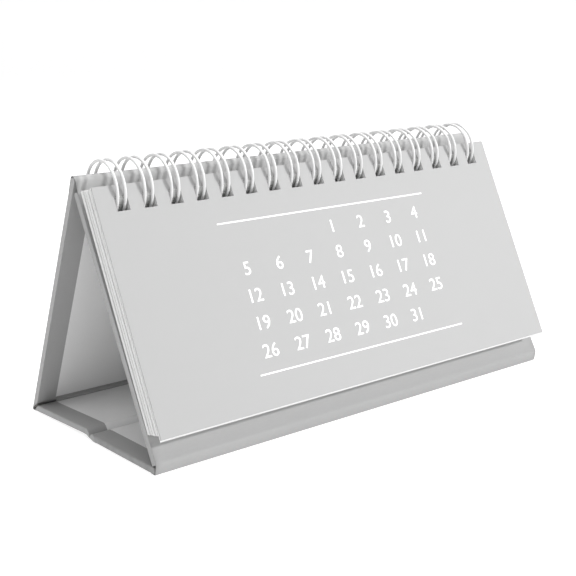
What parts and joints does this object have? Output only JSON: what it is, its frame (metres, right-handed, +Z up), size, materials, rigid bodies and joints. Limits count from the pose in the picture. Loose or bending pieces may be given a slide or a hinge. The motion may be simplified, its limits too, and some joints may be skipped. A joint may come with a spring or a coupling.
{
  "type": "standing desk calendar",
  "caption": "Tent-shaped desk calendar: loose leaves on a twin-loop wire along the ridge of a folding stand of paper-covered boards.",
  "frame": {"origin": "on the floor, under the middle of the part's outline", "axes": "+X along the wire binding, +Y from the leaves to the back panel, +Z up"},
  "size_m": [0.1516, 0.0745, 0.0793],
  "materials": {
    "cover_paper": "matte laid cover paper",
    "lining_paper": "matte lining paper",
    "grey_board": "raw grey board",
    "cover_leaf": "matte printed card",
    "leaf": "uncoated white card",
    "binding_wire": "white nylon-coated wire"
  },
  "bodies": {
    "front_panel": {"front_cover_paper": "cover_paper", "front_board": "grey_board", "front_lining_paper": "lining_paper", "binding_wire": "binding_wire"},
    "back_panel": {"back_cover_paper": "cover_paper", "back_board": "grey_board", "back_lining_paper": "lining_paper"},
    "base_front": {"base_front_cover_paper": "cover_paper", "base_front_board": "grey_board", "base_front_lining_paper": "lining_paper"},
    "base_rear": {"base_rear_cover_paper": "cover_paper", "base_rear_board": "grey_board", "base_rear_lining_paper": "lining_paper"},
    "leaf_6": {"leaf_6": "leaf"},
    "leaf_5": {"leaf_5": "leaf"},
    "leaf_4": {"leaf_4": "leaf"},
    "leaf_3": {"leaf_3": "leaf"},
    "leaf_2": {"leaf_2": "leaf"},
    "leaf_1": {"leaf_1": "leaf"},
    "cover_leaf": {"cover_leaf": "cover_leaf"}
  },
  "joints": [
    {"name": "stand_fold", "type": "hinge", "parent": "front_panel", "child": "back_panel", "pos_m": [0, 0.00085, 0.07121], "axis": [-1, 0, 0], "range_deg": [0, 19]},
    {"name": "base_front_fold", "type": "hinge", "parent": "front_panel", "child": "base_front", "pos_m": [0, -0.03276, 0.002], "axis": [1, 0, 0], "range_deg": [0, 59]},
    {"name": "base_rear_fold", "type": "hinge", "parent": "back_panel", "child": "base_rear", "pos_m": [0, 0.03407, 0.002], "axis": [-1, 0, 0], "range_deg": [0, 59]},
    {"name": "leaf_6_turn", "type": "hinge", "parent": "front_panel", "child": "leaf_6", "pos_m": [0, -0.0023, 0.0706], "axis": [-1, 0, 0], "range_deg": [0, 13]},
    {"name": "leaf_5_turn", "type": "hinge", "parent": "leaf_6", "child": "leaf_5", "pos_m": [0, -0.0023, 0.0706], "axis": [-1, 0, 0], "range_deg": [0, 13]},
    {"name": "leaf_4_turn", "type": "hinge", "parent": "leaf_5", "child": "leaf_4", "pos_m": [0, -0.0023, 0.0706], "axis": [-1, 0, 0], "range_deg": [0, 13]},
    {"name": "leaf_3_turn", "type": "hinge", "parent": "leaf_4", "child": "leaf_3", "pos_m": [0, -0.0023, 0.0706], "axis": [-1, 0, 0], "range_deg": [0, 13]},
    {"name": "leaf_2_turn", "type": "hinge", "parent": "leaf_3", "child": "leaf_2", "pos_m": [0, -0.0023, 0.0706], "axis": [-1, 0, 0], "range_deg": [0, 13]},
    {"name": "leaf_1_turn", "type": "hinge", "parent": "leaf_2", "child": "leaf_1", "pos_m": [0, -0.0023, 0.0706], "axis": [-1, 0, 0], "range_deg": [0, 13]},
    {"name": "cover_leaf_turn", "type": "hinge", "parent": "leaf_1", "child": "cover_leaf", "pos_m": [0, -0.0023, 0.0706], "axis": [-1, 0, 0], "range_deg": [0, 90]}
  ],
  "couplings": [
    {"joint": "base_front_fold", "follows": "stand_fold", "ratio": 3.1},
    {"joint": "base_rear_fold", "follows": "stand_fold", "ratio": 3.1}
  ]
}
